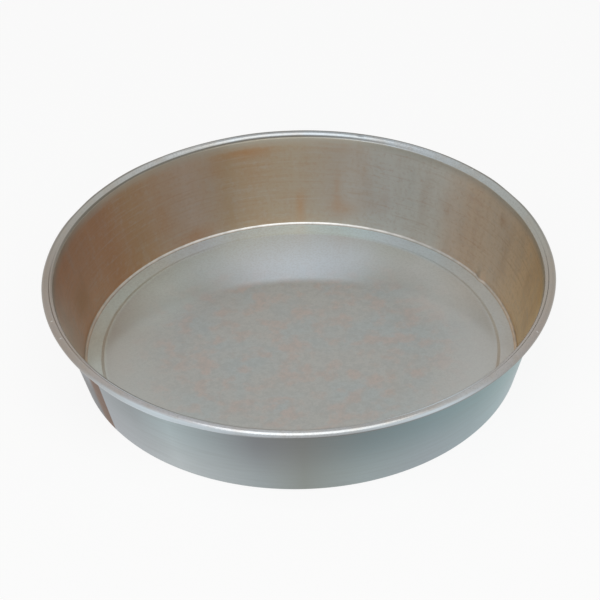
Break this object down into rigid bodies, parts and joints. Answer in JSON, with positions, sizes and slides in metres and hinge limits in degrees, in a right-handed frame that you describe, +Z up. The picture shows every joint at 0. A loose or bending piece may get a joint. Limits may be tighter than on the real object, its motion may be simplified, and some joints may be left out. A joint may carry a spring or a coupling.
{
  "type": "round cake tin",
  "caption": "Round steel cake tin with leaning sides, a slightly raised floor and a slightly flattened rim rolled over a wire.",
  "frame": {"origin": "middle of the underside, on the surface that the tin stands on", "axes": "+Z up along the tin's axis; the tin is round, so X and Y are free, and the wire's butt joint lies 73.7 degrees round from +X"},
  "size_m": [0.2636, 0.2636, 0.051],
  "materials": {
    "body_sheet": "tinned sheet, satin, browned by baking",
    "wire": "plain drawn wire"
  },
  "bodies": {
    "root": {"tin_body": "body_sheet", "rim_wire": "wire"}
  },
  "joints": []
}
